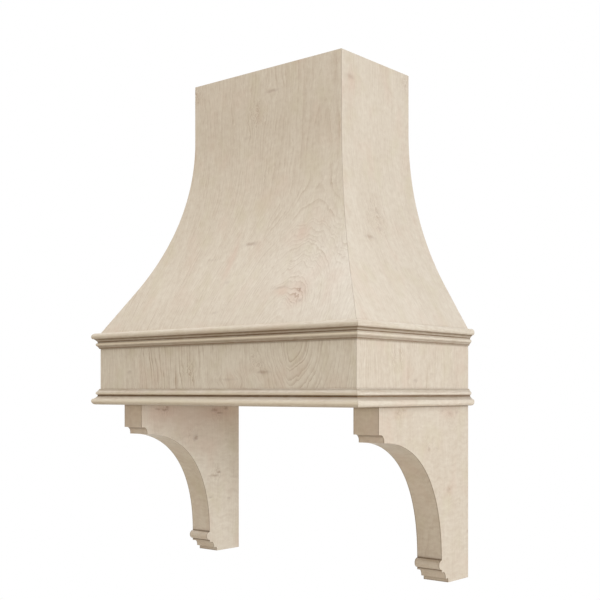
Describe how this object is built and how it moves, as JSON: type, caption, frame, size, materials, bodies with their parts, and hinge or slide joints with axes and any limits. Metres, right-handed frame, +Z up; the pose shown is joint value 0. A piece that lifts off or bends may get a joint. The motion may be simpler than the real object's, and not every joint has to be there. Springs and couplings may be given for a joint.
{
  "type": "range hood cover",
  "caption": "Wooden wall-hung range hood cover: flared bell with mitred skins on a moulded band, carried low by arched corbels, open below and behind for a blower and duct.",
  "frame": {"origin": "the middle of the wall cleat's back face, on the wall plane, on the hood's centre line", "axes": "+X to the right as seen from the room, +Y into the wall, +Z up"},
  "size_m": [0.9524, 0.5143, 1.3716],
  "materials": {
    "whitewashed_maple": "pale whitewash, matte",
    "birch_plywood": "raw sanded plywood",
    "poplar": "raw planed board",
    "zinc_screw": "zinc plated"
  },
  "bodies": {
    "root": {"front_skin": "whitewashed_maple", "left_skin": "whitewashed_maple", "right_skin": "whitewashed_maple", "front_apron": "whitewashed_maple", "left_apron": "whitewashed_maple", "right_apron": "whitewashed_maple", "front_upper_moulding": "whitewashed_maple", "left_upper_moulding": "whitewashed_maple", "right_upper_moulding": "whitewashed_maple", "front_lower_moulding": "whitewashed_maple", "left_lower_moulding": "whitewashed_maple", "right_lower_moulding": "whitewashed_maple", "left_corbel": "whitewashed_maple", "right_corbel": "whitewashed_maple", "left_corbel_rear_screw": "zinc_screw", "left_corbel_front_screw": "zinc_screw", "right_corbel_rear_screw": "zinc_screw", "right_corbel_front_screw": "zinc_screw", "liner_ledge_front_rail": "poplar", "liner_ledge_back_rail": "poplar", "liner_ledge_left_rail": "poplar", "liner_ledge_right_rail": "poplar", "bell_base_front_rail": "poplar", "bell_base_back_rail": "poplar", "bell_base_left_rail": "poplar", "bell_base_right_rail": "poplar", "top_frame_front_rail": "poplar", "top_frame_back_rail": "poplar", "top_frame_left_rail": "poplar", "top_frame_right_rail": "poplar", "left_front_corner_block": "poplar", "left_rear_corner_block": "poplar", "right_front_corner_block": "poplar", "right_rear_corner_block": "poplar", "left_front_rib": "birch_plywood", "right_front_rib": "birch_plywood", "left_side_rib": "birch_plywood", "right_side_rib": "birch_plywood", "left_hip_rib": "birch_plywood", "right_hip_rib": "birch_plywood", "left_back_stile": "birch_plywood", "right_back_stile": "birch_plywood", "hanging_rail": "poplar", "wall_cleat": "poplar", "lower_fixing_rail": "poplar"}
  },
  "joints": []
}
